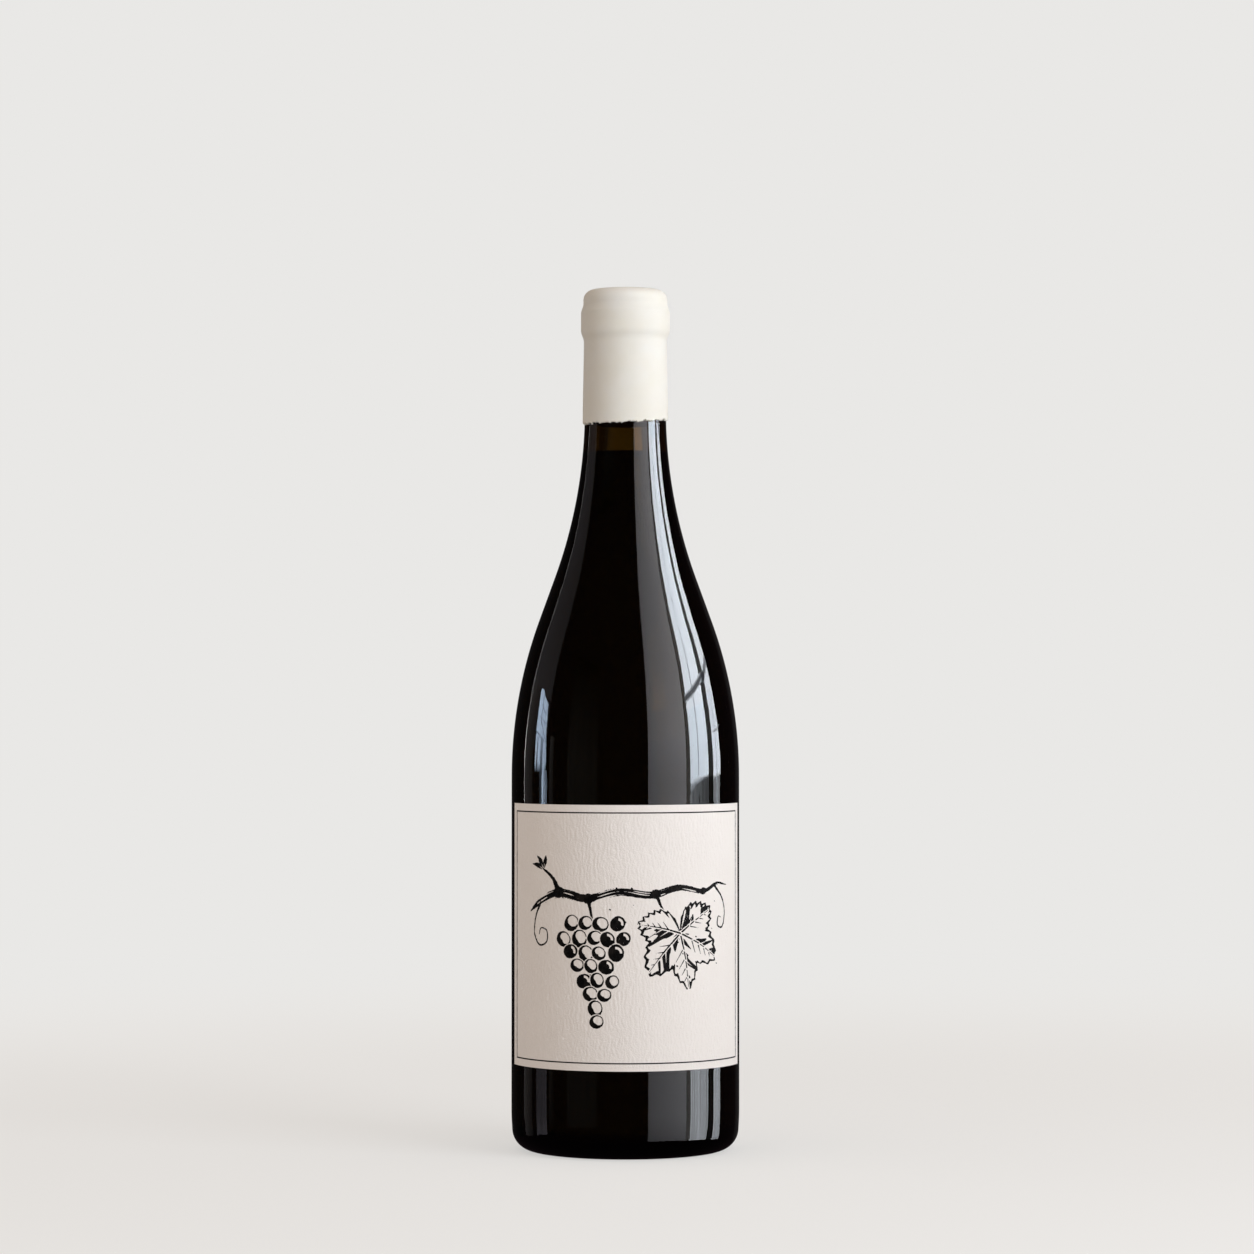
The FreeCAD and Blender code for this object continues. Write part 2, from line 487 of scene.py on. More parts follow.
waxShape = dict(
    thickness=0.73,
    topRound=3.6,
    liningRound=1.2,      # where it turns over the lip into the mouth
    bite=0.1,             # how far it reaches under the skin of the glass
    lipDrop=0.4,          # height over which the lower lip rounds in
    lipFullness=0.97,     # how nearly it closes on the glass, 1 for a full round
    lipSteps=(0.85, 0.7, 0.56, 0.45, 0.36, 0.28, 0.21, 0.15, 0.1, 0.06, 0.03, 0),
    dipLength=46.5,       # top of the wax to the middle of the dip line
    dipTilt=2.7,          # degrees, higher on the +X side
    dipLean=4.2,          # degrees, and higher at the back
    wave=0.3,             # slow rise and fall of the dip line
    wavesRound=1.9,
    step=0.85,            # height of the small torn steps along it
    stepTurns=(0.035, 0.17),   # shortest and longest step, radians round the neck
    dipReach=9,           # height over which the dip line's shape dies out
    unevenness=0.09,      # soft swell of a hand-dipped skin
    swellsRound=1.3,
    swellHeight=9,
    stillWithin=3,        # of the axis
    spacing=0.55,
    liningSpacing=1.4,
    segments=480,
    seed=11,
)


def dipLine(values):
    # height of the lower edge against its mean: tilt, slow wave and small torn steps, each
    # sloping gently and ending in a sharp little break
    draw = random.Random(values["seed"])
    steps = []
    place = 0
    while place < 2 * pi:
        turn = draw.uniform(*values["stepTurns"])
        steps.append((place, turn, draw.uniform(-1, 1), draw.uniform(-1, 1)))
        place += turn
    reach = glassShape["neckRadius"] + values["thickness"]

    def edge(angle):
        around = angle % (2 * pi)
        level = 0
        for start, turn, first, last in steps:
            if start <= around < start + turn:
                share = (around - start) / turn
                level = first + (last - first) * share + 0.5 * sin(pi * share)
        side, back = sin(angle), -cos(angle)
        slope = -lean(values["dipTilt"]) * side - lean(values["dipLean"]) * back
        wave = drift(side * values["wavesRound"], back * values["wavesRound"], 4.7)
        return reach * slope + wave * values["wave"] + level * values["step"] / 2

    return edge


def makeWax(values):
    thickness, bite = values["thickness"], values["bite"]
    top = waxHigh.z / mm
    middle = top - values["dipLength"]
    # both skins from the neck up
    outer = outsideCorners(glassShape, thickness)[4:]
    inner = outsideCorners(glassShape, -bite)[4:]

    def footRadius(corners, height):
        return corners[0][0] - lean(glassShape["neckTaper"]) * (corners[0][1] - height)

    skin = [(0, top, 0), (outer[-1][0], top, values["topRound"]), *reversed(outer[:-1]),
            (footRadius(outer, middle), middle, 0)]
    outside = [p for p in roundedOutline(skin, values["spacing"]) if p.y > middle + 1]
    # the lower lip rounds in over its last bit
    for above in values["lipSteps"]:
        fade = max(0, 1 - above / values["lipDrop"])
        drawn = thickness * (1 - sqrt(1 - values["lipFullness"] * fade * fade))
        outside.append(Vector((footRadius(outer, middle + above) - drawn, middle + above)))
    sill, plugFoot = glassTop - bite, corkTop - bite
    lining = [(footRadius(inner, middle), middle, 0), *inner[:-1],
              (inner[-1][0], sill, values["liningRound"]),
              (glassShape["boreRadius"] + glassShape["mouthRound"], sill, 0),
              (glassShape["boreRadius"] - bite, plugFoot, 0), (0, plugFoot, 0)]
    outline = outside + roundedOutline(lining, values["liningSpacing"])
    edge = dipLine(values)

    def hang(radius, angle, height):
        # shifts the lower edge to the dip line; the outer skin swells, but for its centre
        fade = max(0, 1 - (height - middle) / values["dipReach"]) ** 2
        side, front = sin(angle), cos(angle)
        swell = drift(side * values["swellsRound"], front * values["swellsRound"],
                      height / values["swellHeight"]) * values["unevenness"]
        onSkin = radius > footRadius(inner, height) + 0.3 or height > glassTop
        if not onSkin or radius < values["stillWithin"]:
            swell = 0
        return radius + swell, height + edge(angle) * fade

    return turnedMesh("wax_coat", outline, values["segments"], hang)


# Bottle-sealing wax, a resin and wax blend set from a hot dip: creamy, satin, a little
# translucent at thin edges, with a fine bloom that is drawn coarser than it is.
def sealingWax():
    material, add, place = newMaterial("sealingWax")
    cloud = add("TexNoise", {"Vector": place}, Scale=1 / (11 * mm), Detail=3.0)
    cream = add("MixRGB", {"Fac": cloud}, Color1="#DAD3C4", Color2="#E1DDD7")
    bloom = add("TexNoise", {"Vector": place}, Scale=1 / (0.7 * mm), Detail=2.0)
    rough = add("MapRange", {"Value": bloom}, To_Min=0.64, To_Max=0.76)
    bump = add("Bump", {"Height": cloud}, Strength=0.25, Distance=0.3 * mm)
    add("Principled BSDF", {"Base Color": cream, "Roughness": rough, "Normal": bump},
        IOR=1.45, Subsurface_Weight=0.3, Subsurface_Radius=(1.0, 0.85, 0.7),
        Subsurface_Scale=2.5 * mm)
    return material


wax = makeWax(waxShape)
finishPiece(wax, "wax_seal", sealingWax())
print("wax made")


labelShape = dict(
    width=106.2,          # round the body
    glued=0.05,           # how far the back reaches under the skin of the glass
    relief=0.075,         # half the depth of the felt marking
    deepest=0.13,         # below the sheet's face, so that it never comes down to the glass
    ribPitch=1.3,         # across the wavy felt ribs
    ribHeight=0.75,
    ribBreaks=(4.5, 5, 0.9),   # size across and up of what breaks them up, and its strength
    slowBend=(9, 7, 2.6),      # size of their bends, and how far these move them
    quickBend=(2.4, 2.2, 1.2),
    creases=(0.6, 2.6, 1.25),  # size across and along the slanting creases, and depth
    creaseSlant=0.7,
    ruleSides=3.3,        # printed rule from the label's edges, the paper is flatter beyond it
    ruleEnds=2.7,
    flatterShare=0.3,
    edgeFade=0.9,         # from the cut edges to the full marking
    cellAcross=0.27,
    cellUp=0.58,
)
labelFoot = labelLow.z / mm
labelHeight = (labelHigh.z - labelLow.z) / mm
labelFace = -labelLow.y / mm


def feltRelief(values, s, t):
    # wavy upright ribs left by the felt, broken up so that no two run alike, and slanting
    # creases between them, about -1..1
    def wander(key, a, b, layer):
        sizeA, sizeB, strength = values[key]
        return drift(a / sizeA, b / sizeB, layer) * strength

    bend = wander("slowBend", s, t, 2.3) + wander("quickBend", s, t, 5)
    ribs = sin(2 * pi * (s + bend) / values["ribPitch"])
    ribs *= values["ribHeight"] + wander("ribBreaks", s, t, 11)
    creases = wander("creases", s + values["creaseSlant"] * t, t - s, 7.7)
    sideInset, endInset = values["width"] / 2 - abs(s), min(t, labelHeight - t)
    insideRule = min(sideInset - values["ruleSides"], endInset - values["ruleEnds"])
    flatter = values["flatterShare"]
    soft = flatter + (1 - flatter) * min(1, max(0, insideRule - 0.3) / 0.8)
    fade = min(1, sideInset / values["edgeFade"], endInset / values["edgeFade"])
    return (ribs + creases) * soft * fade


def onLabel(s, t, out=0.0):
    # s runs round the body from the label's middle, t up from its foot, out above the paper
    return turned(labelFace + out, s / bodyRadius, labelFoot + t) * mm


def pressPaper(values):
    # the marked face on its grid: places across and up, and heights against the sheet's face
    columns = round(values["width"] / values["cellAcross"])
    rows = round(labelHeight / values["cellUp"])
    sAt = np.linspace(-0.5, 0.5, columns + 1) * values["width"]
    tAt = np.linspace(0, labelHeight, rows + 1)
    marks = np.array([[feltRelief(values, s, t) for t in tAt] for s in sAt])
    return sAt, tAt, np.clip(values["relief"] * (marks - 1), -values["deepest"], 0)


def paperHeight(s, t):
    # blends between the grid's points, so that ink lies on the paper as it is meshed
    sAt, tAt, heights = paperGrid
    x, y = (s - sAt[0]) / (sAt[1] - sAt[0]), t / tAt[1]
    i, j = int(x), int(y)
    around = (heights[i, j], heights[i + 1, j], heights[i, j + 1], heights[i + 1, j + 1])
    return blend(around, x - i, y - j)


def makeLabel(values):
    bm = bmesh.new()
    sAt, tAt, heights = paperGrid
    front = []
    for s, column in zip(sAt, heights):
        front.append([bm.verts.new(onLabel(s, t, height)) for t, height in zip(tAt, column)])
    for left, right in zip(front, front[1:]):
        for j in range(len(tAt) - 1):
            bm.faces.new((left[j], right[j], right[j + 1], left[j + 1]))
    # back and cut edges: one tall strip for each column, closed by the two side edges
    depth = bodyRadius - values["glued"] - labelFace
    back = [[bm.verts.new(onLabel(s, t, depth)) for t in (0, labelHeight)] for s in sAt]
    for i in range(len(sAt) - 1):
        bm.faces.new((back[i][0], back[i][1], back[i + 1][1], back[i + 1][0]))
        bm.faces.new((front[i][0], back[i][0], back[i + 1][0], front[i + 1][0]))
        bm.faces.new((front[i + 1][-1], back[i + 1][1], back[i][1], front[i][-1]))
    bm.faces.new(front[0] + [back[0][1], back[0][0]])
    bm.faces.new([back[-1][0], back[-1][1]] + front[-1][::-1])
    bmesh.ops.recalc_face_normals(bm, faces=bm.faces)
    return meshObject("label_sheet", bm, 50)


# Uncoated felt-marked label stock: off-white cotton-like paper, matt, with a soft tooth. Its
# fibres are far finer than can show, so they are drawn 0.43 mm apart.
def feltPaper():
    material, add, place = newMaterial("feltPaper")
    cloud = add("TexNoise", {"Vector": place}, Scale=1 / (14 * mm), Detail=4.0)
    fibre = add("TexNoise", {"Vector": place}, Scale=1 / (0.43 * mm), Detail=2.0)
    stock = add("MixRGB", {"Fac": cloud}, Color1="#F3EDE9", Color2="#F7F2EE")
    flecked = add("MixRGB", {"Fac": fibre, "Color1": stock},
                  blend_type="MULTIPLY", Color2="#F8F6F3")
    bump = add("Bump", {"Height": fibre}, Strength=0.6, Distance=0.28 * mm)
    add("Principled BSDF", {"Base Color": flecked, "Normal": bump}, Roughness=0.88, IOR=1.45)
    return material


paperGrid = pressPaper(labelShape)
label = makeLabel(labelShape)
finishPiece(label, "label", feltPaper())
print("label made")


# The printed artwork: a vine branch in brush and black ink, and a fine rule round it. It is
# drawn on the flat sheet, s to the right of the label's middle, t up from its foot.
vineArt = dict(
    cell=0.2,             # grid on which the ink's edge is traced
    left=-42.0,
    right=43.5,
    foot=10.0,
    head=74.5,
    fray=0.22,            # raggedness of a brush edge
    frayCells=(0.5, 0.22),
    bristles=(0.34, 6.5),  # across and along the streaks of a dry brush
    berryRadius=2.72,
    berrySpread=0.25,     # how much their size varies
    berryScatter=0.5,     # and their place
    berryGap=0.32,        # bare paper left round a berry
    berryRing=0.34,       # its outline where it is thinnest
    solidShare=0.42,      # of the berries, a little more on the shaded side
    lightFrom=40,         # degrees, the side that the berries are lit from
    leafSize=20.5,
    spatters=22,
    inkAbove=0.04,        # how far the dry ink stands over the paper
    inkBelow=0.07,
    strokeStep=0.7,
    ruleWidth=0.43,
    ruleStep=0.2,
    seed=5,
)


def mottle(a, b):
    # smooth random field between 0 and 1
    i, j = np.floor(a), np.floor(b)
    u, v = a - i, b - j
    u, v = u * u * (3 - 2 * u), v * v * (3 - 2 * v)

    def dots(x, y):
        return np.modf(np.abs(np.sin(x * 127.1 + y * 311.7) * 43758.5453))[0]

    return blend((dots(i, j), dots(i + 1, j), dots(i, j + 1), dots(i + 1, j + 1)), u, v)


def newSheet(values):
    s = np.arange(values["left"], values["right"], values["cell"])
    t = np.arange(values["foot"], values["head"], values["cell"])
    wide, tall = np.meshgrid(s, t, indexing="ij")
    coarse, fine = (mottle(wide / cell, tall / cell) for cell in values["frayCells"])
    fray = coarse + 0.6 * fine - 0.8
    return dict(s=s, t=t, fray=fray * values["fray"], ink=np.full(wide.shape, -1.0))


def windowOf(sheet, sLow, sHigh, tLow, tHigh):
    # the part of the sheet round a mark, as slices and as coordinates
    i = np.searchsorted(sheet["s"], (sLow, sHigh))
    j = np.searchsorted(sheet["t"], (tLow, tHigh))
    part = (slice(*i), slice(*j))
    s, t = np.meshgrid(sheet["s"][part[0]], sheet["t"][part[1]], indexing="ij")
    return part, s, t


def smoothPath(points):
    # Catmull-Rom curve through (s, t, width) points
    knots = [Vector(p) for p in points]
    knots = [2 * knots[0] - knots[1]] + knots + [2 * knots[-1] - knots[-2]]
    path = [knots[1]]
    for a, b, c, d in zip(knots, knots[1:], knots[2:], knots[3:]):
        pieces = max(2, ceil((c - b).length / vineArt["strokeStep"]))
        for k in range(1, pieces + 1):
            x = k / pieces
            path.append((2 * b + (c - a) * x + (2 * a - 5 * b + 4 * c - d) * x * x
                         + (3 * b - a - 3 * c + d) * x ** 3) / 2)
    return path


def brush(sheet, points, dry=0.0, lift=False):
    # a stroke that swells and thins; dry bristles leave streaks; a lift leaves paper instead
    path = smoothPath(points)
    run = points[0][0]
    for a, b in zip(path, path[1:]):
        reach = max(a.z, b.z) / 2 + 0.5
        part, s, t = windowOf(sheet, min(a.x, b.x) - reach, max(a.x, b.x) + reach,
                              min(a.y, b.y) - reach, max(a.y, b.y) + reach)
        length = hypot(b.x - a.x, b.y - a.y)
        ds, dt = (b.x - a.x) / length, (b.y - a.y) / length
        along = (s - a.x) * ds + (t - a.y) * dt
        across = (t - a.y) * ds - (s - a.x) * dt
        held = np.clip(along, 0, length)
        away = np.hypot(along - held, across)
        half = (a.z + (b.z - a.z) * held / length) / 2
        mark = half + sheet["fray"][part] * np.minimum(1, half * 1.6) - away
        if dry:
            wide, far = vineArt["bristles"]
            bristles = mottle(across / wide + 50, (run + along) / far)
            mark = np.minimum(mark, (bristles - dry) * 0.9)
        ink = sheet["ink"][part]
        sheet["ink"][part] = np.minimum(ink, -mark) if lift else np.maximum(ink, mark)
        run += length


def berry(sheet, s0, t0, radius, solid, draw):
    # a grape: a ring pressed heavier on its shaded side, or a solid one with a glint left open
    room = radius + 1
    part, s, t = windowOf(sheet, s0 - room, s0 + room, t0 - room, t0 + room)
    angle = np.arctan2(t - t0, s - s0)
    away = np.hypot(s - s0, t - t0)
    edge = radius * (1 + 0.05 * np.cos(2 * angle + draw.uniform(0, 6)))
    edge += sheet["fray"][part] * 0.6
    ink = np.minimum(sheet["ink"][part], away - edge - vineArt["berryGap"])
    light = radians(vineArt["lightFrom"] + draw.uniform(-14, 14))
    if solid:
        glint = 0.42 - np.abs(away - radius * 0.6)
        glint = np.minimum(glint, (np.cos(angle - light) - 0.62) * 2.4)
        mark = np.minimum(edge - away, -glint)
    else:
        heavy = (0.5 - 0.5 * np.cos(angle - light)) ** 1.6
        ring = away - edge + vineArt["berryRing"] + radius * 0.62 * heavy
        mark = np.minimum(edge - away, ring)
    sheet["ink"][part] = np.maximum(ink, mark)


def leaf(sheet, s0, t0, size, turn):
    # a lobed vine leaf hung from its stalk; turn points the middle lobe, each lobe is shaded
    # with dry hatching that fades away from one side of its vein
    part, s, t = windowOf(sheet, s0 - size, s0 + size, t0 - size, t0 + size)
    ds, dt = s - s0, t - t0
    away = np.hypot(ds, dt) + 1e-6
    angle = (np.degrees(np.arctan2(dt, ds)) - turn + 180) % 360 - 180
    # half the outline: reach against degrees from the middle lobe, then teeth, then mirrored
    turns = np.arange(0, 181, 1.0)
    reach = np.interp(turns, (0, 9, 19, 28, 38, 50, 62, 74, 84, 96, 112, 130, 150, 164, 174, 180),
                      (1.0, 0.88, 0.76, 0.64, 0.78, 0.93, 0.83, 0.70, 0.62, 0.72, 0.80, 0.70, 0.58,
                       0.42, 0.18, 0.05))
    teeth = 0.06 * np.abs((turns / 9.3 + 0.2) % 1 * 2 - 1) ** 0.8
    reach = (np.convolve(np.pad(reach, 3, "edge"), np.full(7, 1 / 7), "valid") - teeth) * size
    flare = np.gradient(reach) * 180 / pi
    off = np.abs(angle + 3 * np.sin(np.radians(angle * 3)))
    edge = np.interp(off, turns, reach)
    inside = (edge - away) / np.sqrt(1 + (np.interp(off, turns, flare) / away) ** 2)
    inside += sheet["fray"][part] * 0.7
    pen = size / 20           # width of a full line
    pressure = 0.3 + 0.5 * mottle(angle / 24 + 9, away * 0)
    mark = np.minimum(inside, pressure * pen + 0.25 - inside)
    # degrees, length and half width of the five lobes
    lobes = ((0, 0.93, 28), (51, 0.85, 25), (-51, 0.85, 25), (112, 0.7, 40), (-112, 0.7, 40))
    for degrees, length, spread in lobes:
        way = radians(turn + degrees)
        along = ds * cos(way) + dt * sin(way)
        across = dt * cos(way) - ds * sin(way)
        hatch = mottle((along - across) / size * 17 + degrees, across / size * 4)
        fill = hatch - 0.28 - across / size * 2.1 - np.maximum(0, along / size - 0.6)
        fill = np.minimum(fill, inside - 0.3) * 1.2
        fill = np.minimum(fill, np.minimum(across, (spread - np.abs(angle - degrees)) / 12))
        mark = np.maximum(mark, fill)
    sheet["ink"][part] = np.maximum(np.minimum(sheet["ink"][part], -inside - 0.4), mark)
    for degrees, length, spread in lobes:
        way = radians(turn + degrees)
        tip = size * length
        vein = []
        for k in (0, 0.5, 1.0):
            bow = way + radians(4 * k * (1 - k) * (3 if degrees >= 0 else -3))
            vein.append((s0 + tip * k * cos(bow), t0 + tip * k * sin(bow),
                         (0.62 - 0.45 * k) * pen))
        brush(sheet, [(s, t, width + 0.7) for s, t, width in vein], lift=True)
        brush(sheet, vein)
        for k in (0.3, 0.48, 0.64, 0.8):
            for hand in (-1, 1):
                rib = way + hand * radians(42)
                start = (s0 + tip * k * cos(way), t0 + tip * k * sin(way))
                span = tip * 0.34 * (1.1 - k)
                end = (start[0] + span * cos(rib), start[1] + span * sin(rib))
                # on the shaded side a rib is left as bare paper
                brush(sheet, [(*start, 0.42 * pen), (*end, 0.14)], lift=hand > 0)


def drawVine(values):
    draw = random.Random(values["seed"])
    sheet = newSheet(values)
    # the old wood, its joints and a spur
    brush(sheet, [(-39, 54.0, 0.4), (-34, 57.2, 2.3), (-25, 60.6, 3.2), (-14, 59.0, 2.6),
                  (-3, 61.4, 2.8), (8, 60.2, 2.5), (18, 62.6, 2.1), (28, 61.2, 1.6),
                  (35, 63.6, 1.1), (41, 63.0, 0.3)], dry=0.27)
    joints = ((-25.4, 60.9, 4.0), (-13.8, 58.9, 3.6), (9.5, 60.5, 3.3), (28.3, 61.2, 2.4))
    for s, t, width in joints:
        brush(sheet, [(s - 0.8, t - 0.2, width * 0.7), (s, t, width),
                      (s + 0.9, t + 0.3, width * 0.6)])
    brush(sheet, [(-25.5, 61.5, 2.2), (-27.6, 65.4, 1.2), (-30.6, 67.8, 0.9), (-32.4, 68.8, 0.4)])
    # the bunch, from its shoulders down to its tip
    brush(sheet, [(-13.9, 58.6, 1.5), (-13.2, 55.6, 1.0), (-12.6, 52.4, 0.8)])
    rows = ((50.2, (-20.4, -14.9, -9.3, -4.0)), (45.4, (-22.9, -17.5, -12.1, -6.8, -1.8)),
            (40.6, (-20.5, -15.1, -9.7, -4.6)), (35.8, (-18.2, -12.8, -7.4)),
            (31.0, (-15.9, -10.5, -5.9)), (26.2, (-13.6, -8.6)), (21.4, (-11.4,)),
            (17.0, (-10.6,)))
    spread, scatter = values["berrySpread"], values["berryScatter"]
    for t, places in rows:
        for s in places:
            radius = values["berryRadius"] + draw.uniform(-spread, spread)
            radius -= (rows[0][0] - t) * 0.008
            berry(sheet, s + draw.uniform(-scatter, scatter),
                  t + draw.uniform(-scatter, scatter), radius,
                  draw.random() < values["solidShare"] + 0.2 * (s < -14), draw)
    # the leaf on its stalk, and a bud opening on the spur
    brush(sheet, [(9.8, 60.2, 1.3), (11.8, 55.6, 0.8), (16.0, 49.8, 0.75), (18.4, 47.2, 0.9)],
          dry=0.12)
    leaf(sheet, 18.6, 47.0, values["leafSize"], -80)
    for tip in ((-38.0, 70.4), (-35.4, 73.2), (-31.0, 73.4)):
        middle = ((tip[0] - 32.2) / 2 + 0.3, (tip[1] + 68.6) / 2 + 0.4)
        brush(sheet, [(-32.2, 68.6, 0.3), (*middle, 1.7), (*tip, 0.15)], dry=0.2)
    # tendrils
    brush(sheet, [(-33.5, 57.2, 0.9), (-36.2, 52.0, 0.55), (-36.8, 46.4, 0.5), (-34.2, 42.6, 0.6),
                  (-30.6, 43.8, 0.5), (-30.6, 47.6, 0.45), (-33.4, 48.4, 0.4), (-34.2, 46.2, 0.2)])
    brush(sheet, [(33.8, 63.0, 0.9), (38.2, 58.6, 0.6), (40.0, 53.2, 0.5), (38.4, 48.6, 0.6),
                  (35.6, 49.2, 0.5), (36.0, 52.2, 0.35), (37.6, 51.8, 0.2)])
    # and a few spatters
    for k in range(values["spatters"]):
        s, t = draw.choice(((-24, 57), (-12, 34), (2, 58), (20, 38), (30, 58)))
        s, t = s + draw.gauss(0, 6), t + draw.gauss(0, 5)
        size = draw.uniform(0.25, 0.6)
        brush(sheet, [(s, t, size), (s + size * 0.4, t - size * 0.3, size * 0.8)])
    return sheet


def inkPoint(bm, s, t):
    return bm.verts.new(onLabel(s, t, paperHeight(s, t) + vineArt["inkAbove"]))


def inkFilm(name, bm):
    # gives a traced film its back, inwards towards the bottle's axis, and its edges
    depth = (vineArt["inkAbove"] + vineArt["inkBelow"]) * mm
    rim = [edge.link_loops[0] for edge in bm.edges if edge.is_boundary]
    front = [face.verts[:] for face in bm.faces]
    twins = {}
    for vert in bm.verts[:]:
        radius = vert.co.xy.length
        twins[vert] = bm.verts.new(vert.co)
        twins[vert].co.xy *= (radius - depth) / radius
    for verts in front:
        bm.faces.new([twins[vert] for vert in reversed(verts)])
    for loop in rim:
        a, b = loop.vert, loop.link_loop_next.vert
        bm.faces.new((b, a, twins[a], twins[b]))
    bmesh.ops.recalc_face_normals(bm, faces=bm.faces)
    return meshObject(name, bm, 60)


def makeInk(values):
    sheet = drawVine(values)
    ink, sAt, tAt = sheet["ink"], sheet["s"], sheet["t"]
    bm = bmesh.new()
    made = {}

    def spot(key, s, t):
        if key not in made:
            made[key] = inkPoint(bm, s, t)
        return made[key]

    # every cell of the sheet that the ink reaches gives one face, cut where the ink ends
    inside = ink > 0
    busy = inside[:-1, :-1] | inside[1:, :-1] | inside[1:, 1:] | inside[:-1, 1:]
    for i, j in zip(*(axis.tolist() for axis in np.nonzero(busy))):
        corners = ((i, j), (i + 1, j), (i + 1, j + 1), (i, j + 1))
        loop = []
        for a, b in zip(corners, corners[1:] + corners[:1]):
            if ink[a] > 0:
                loop.append(spot(a, sAt[a[0]], tAt[a[1]]))
            if (ink[a] > 0) != (ink[b] > 0):
                share = min(0.92, max(0.08, ink[a] / (ink[a] - ink[b])))
                s = sAt[a[0]] + (sAt[b[0]] - sAt[a[0]]) * share
                t = tAt[a[1]] + (tAt[b[1]] - tAt[a[1]]) * share
                loop.append(spot((min(a, b), max(a, b)), s, t))
        bm.faces.new(loop)
    return inkFilm("vine_ink", bm)


def makeRule(values):
    # a closed frame of one fine line, mitred at its corners
    bm = bmesh.new()
    side = labelShape["width"] / 2 - labelShape["ruleSides"]
    foot, head = labelShape["ruleEnds"], labelHeight - labelShape["ruleEnds"]
    half = values["ruleWidth"] / 2
    corners = ((-1, -1), (1, -1), (1, 1), (-1, 1))
    rail = []
    for here, there in zip(corners, corners[1:] + corners[:1]):
        start, end = (Vector((s * side, head if t > 0 else foot)) for s, t in (here, there))
        mitre = Vector(here) * half
        square = (Vector(here) + Vector(there)) * half / 2
        pieces = round((end - start).length / values["ruleStep"])
        for k in range(pieces):
            middle = start.lerp(end, k / pieces)
            offset = square if k else mitre
            rail.append([inkPoint(bm, *(middle + offset)), inkPoint(bm, *(middle - offset))])
    for here, there in zip(rail, rail[1:] + rail[:1]):
        bm.faces.new((here[0], there[0], there[1], here[1]))
    return inkFilm("rule_ink", bm)


# Carbon-black printing ink: dense, matt, soaking slightly brown into the paper where it is
# thin. The felt's tooth breaks its gloss, and is drawn as coarse as it needs to show.
def blackInk():
    material, add, place = newMaterial("blackInk")
    wash = add("TexNoise", {"Vector": place}, Scale=1 / (2.4 * mm), Detail=4.0)
    thin = add("MapRange", {"Value": wash}, From_Min=0.45, From_Max=0.75)
    black = add("MixRGB", {"Fac": thin}, Color1="#0B0A0A", Color2="#211D1B")
    tooth = add("TexNoise", {"Vector": place}, Scale=1 / (0.38 * mm), Detail=2.0)
    bump = add("Bump", {"Height": tooth}, Strength=0.3, Distance=0.1 * mm)
    add("Principled BSDF", {"Base Color": black, "Normal": bump},
        Roughness=0.78, IOR=1.45, Specular_IOR_Level=0.12)
    return material


ink = blackInk()
finishPiece(makeInk(vineArt), None, ink)
finishPiece(makeRule(vineArt), None, ink)
print("artwork made")


studio = dict(
    backdrop="#E9E8E6",
    floor="#E6E4E1",
    floorSize=6.0,
    floorPaint=0.45,      # share of the floor that takes light and shadow, near the bottle
    paintNear=0.12,       # full share within, none beyond
    paintFar=1.1,
    floorLift=1.2,        # brightness of the rest of the floor there
    ambient="#FFF2E7",    # warm light from all round
    ambientLevel=0.54,
    flags="#1D1619",
    flagRadius=2.4,
    streakNumber=46,      # upright streaks to a radian of a window, and how much they waver
    streakWaver=1.3,
)

# Soft lamps: daylight from the front right for the whole bottle, a small one for the neck, and
# a weak one behind on the left that lifts the paler edge.
lamps = dict(
    dayLight=dict(tint="#E9F4FF", azimuth=51, elevation=16, distance=1.0, aim=0.15,
                  size=(0.65, 0.8), power=5.9, spread=180),
    neckLight=dict(tint="#EEF6FF", azimuth=38, elevation=12, distance=0.8, aim=0.335,
                   size=(0.3, 0.25), power=0.115, spread=32),
    edgeLight=dict(tint="#F4F8FF", azimuth=-108, elevation=12, distance=1.2, aim=0.17,
                   size=(0.4, 1.0), power=0.65, spread=180),
)

